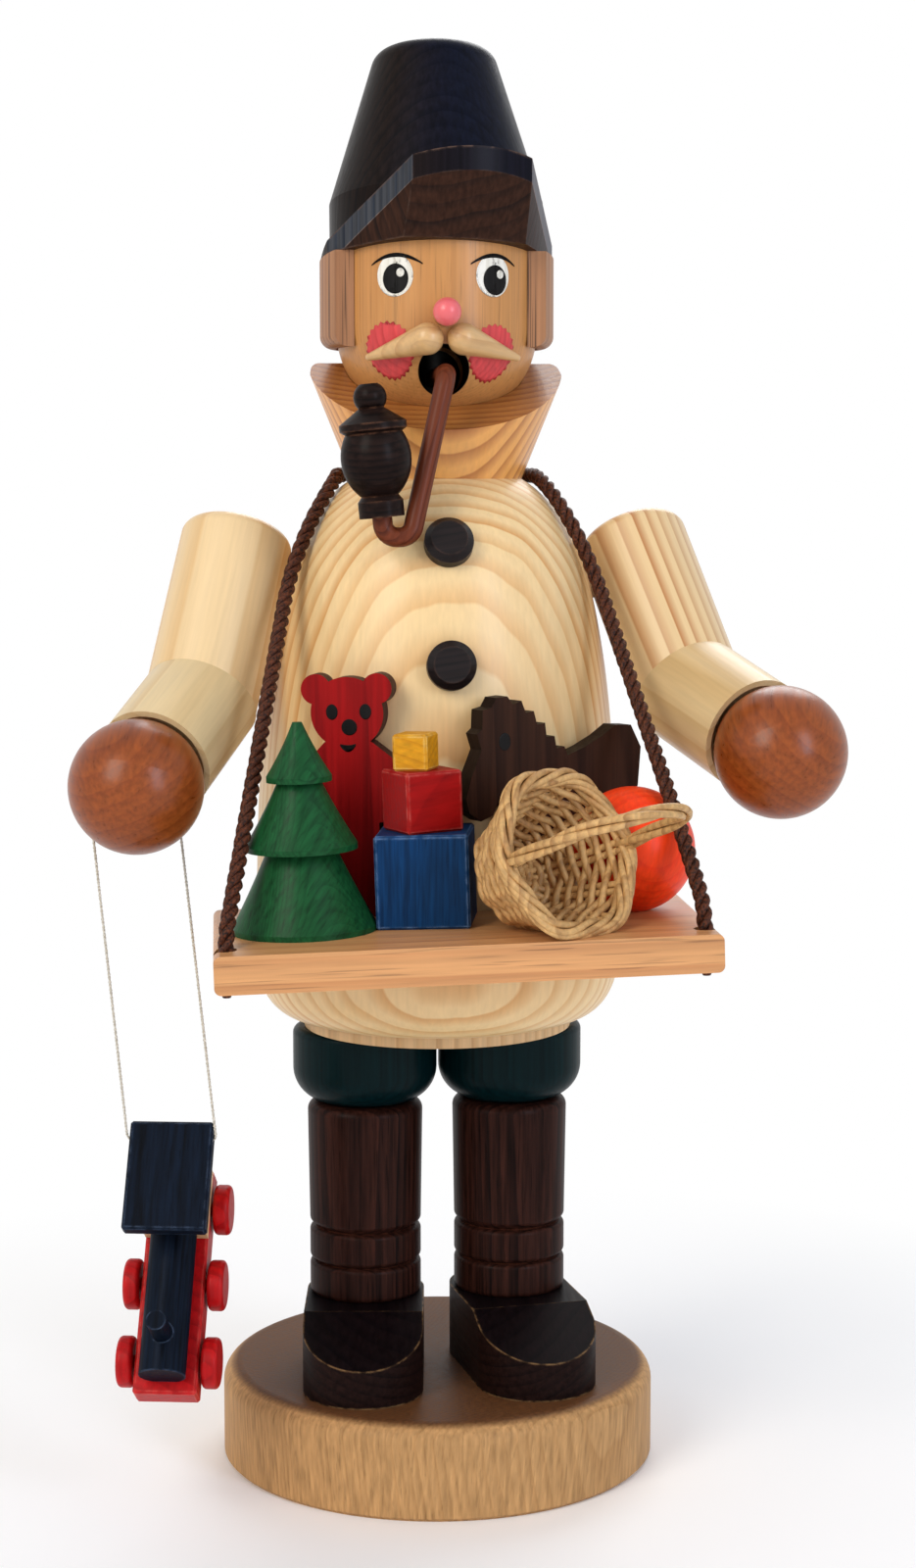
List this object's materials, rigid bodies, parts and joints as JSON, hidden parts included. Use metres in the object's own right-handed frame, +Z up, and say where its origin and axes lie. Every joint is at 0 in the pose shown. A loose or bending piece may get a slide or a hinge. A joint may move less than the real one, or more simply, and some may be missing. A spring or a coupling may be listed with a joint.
{
  "type": "incense smoker figure",
  "caption": "Turned wooden incense smoker as a toy pedlar: hollow lift-off torso over an incense plate, turning arms, corded tray of toys and a train swinging on a thread.",
  "frame": {"origin": "centre of the base's underside", "axes": "+Z up, face and tray towards -Y, +X towards the figure's left hand"},
  "size_m": [0.1157, 0.1061, 0.226],
  "materials": {
    "base_wood": "satin lacquer over light brown wood",
    "dark_stain": "gloss lacquer over dark brown stain",
    "green_stain": "satin lacquer over dark green stain",
    "plain_wood": "bare turned wood",
    "brass": "stamped, dulled by ash",
    "coat_wood": "clear lacquer over striped pine",
    "pale_wood": "clear lacquer over pale wood",
    "hand_wood": "gloss lacquer over reddish stain",
    "face_wood": "clear lacquer, painted face",
    "hair_wood": "satin lacquer over brown stain",
    "moustache_wood": "clear lacquer over pale wood",
    "stem_cane": "satin lacquer over reddish cane",
    "nose_paint": "peg with a painted tip",
    "reed": "bare reed",
    "tray_wood": "clear lacquer",
    "cord": "twisted cord",
    "thread": "plain thread",
    "tree_green": "green stain",
    "red_stain": "red stain",
    "blue_stain": "blue stain",
    "yellow_stain": "yellow stain",
    "horse_stain": "dark brown stain",
    "ball_stain": "satin red stain",
    "navy_stain": "blue-black stain",
    "cab_wood": "bare wood"
  },
  "bodies": {
    "stand": {"base_plate": "base_wood", "right_shoe": "dark_stain", "left_shoe": "dark_stain", "right_boot": "dark_stain", "left_boot": "dark_stain", "right_trouser": "green_stain", "left_trouser": "green_stain", "leg_dowels": "plain_wood", "waist_plug": "plain_wood", "incense_plate": "brass", "plate_tack": "brass"},
    "torso": {"torso": "coat_wood", "neck_tube": "plain_wood", "coat_buttons": "dark_stain", "collar": "coat_wood", "head": "face_wood", "hair": "hair_wood", "nose": "nose_paint", "right_moustache": "moustache_wood", "left_moustache": "moustache_wood", "hat": "dark_stain", "hat_dowel": "plain_wood", "pipe_stem": "stem_cane", "pipe_bowl": "dark_stain", "tray": "tray_wood", "tray_dowels": "plain_wood", "neck_cord": "cord", "cord_ends": "cord", "fir_tree": "tree_green", "bear": "red_stain", "blue_block": "blue_stain", "red_block": "red_stain", "yellow_block": "yellow_stain", "horse": "horse_stain", "basket": "reed", "basket_handle": "reed", "ball": "ball_stain"},
    "right_arm": {"right_upper_arm": "coat_wood", "right_forearm": "pale_wood", "right_hand": "hand_wood", "right_shoulder_dowel": "plain_wood", "right_elbow_dowel": "plain_wood", "right_wrist_dowel": "plain_wood"},
    "left_arm": {"left_upper_arm": "coat_wood", "left_forearm": "pale_wood", "left_hand": "hand_wood", "left_shoulder_dowel": "plain_wood", "left_elbow_dowel": "plain_wood", "left_wrist_dowel": "plain_wood"},
    "train": {"hanging_thread": "thread", "train_frame": "red_stain", "train_boiler": "navy_stain", "train_cab": "cab_wood", "train_roof": "navy_stain", "train_chimney": "navy_stain"},
    "rear_wheelset": {"rear_wheels": "red_stain"},
    "middle_wheelset": {"middle_wheels": "red_stain"},
    "front_wheelset": {"front_wheels": "red_stain"}
  },
  "joints": [
    {"name": "torso_lift", "type": "slide", "parent": "stand", "child": "torso", "axis": [0, 0, 1], "range_m": [0, 0.06]},
    {"name": "right_shoulder", "type": "hinge", "parent": "torso", "child": "right_arm", "pos_m": [-0.02427, -0.0016, 0.1416], "axis": [-0.9673, 0, 0.2537], "range_deg": [-15, 4]},
    {"name": "left_shoulder", "type": "hinge", "parent": "torso", "child": "left_arm", "pos_m": [0.02427, -0.0016, 0.1416], "axis": [-0.9673, 0, -0.2537], "range_deg": [-20, 11]},
    {"name": "train_swing", "type": "hinge", "parent": "right_arm", "child": "train", "pos_m": [-0.04844, -0.02713, 0.10608], "axis": [0.9816, -0.1908, 0], "range_deg": [-25, 25]},
    {"name": "rear_wheels_spin", "type": "hinge", "parent": "train", "child": "rear_wheelset", "pos_m": [-0.04205, -0.01942, 0.04616], "axis": [0.9816, -0.1908, 0], "continuous": true},
    {"name": "middle_wheels_spin", "type": "hinge", "parent": "train", "child": "middle_wheelset", "pos_m": [-0.04333, -0.026, 0.03621], "axis": [0.9816, -0.1908, 0], "continuous": true},
    {"name": "front_wheels_spin", "type": "hinge", "parent": "train", "child": "front_wheelset", "pos_m": [-0.04461, -0.03259, 0.02626], "axis": [0.9816, -0.1908, 0], "continuous": true}
  ]
}
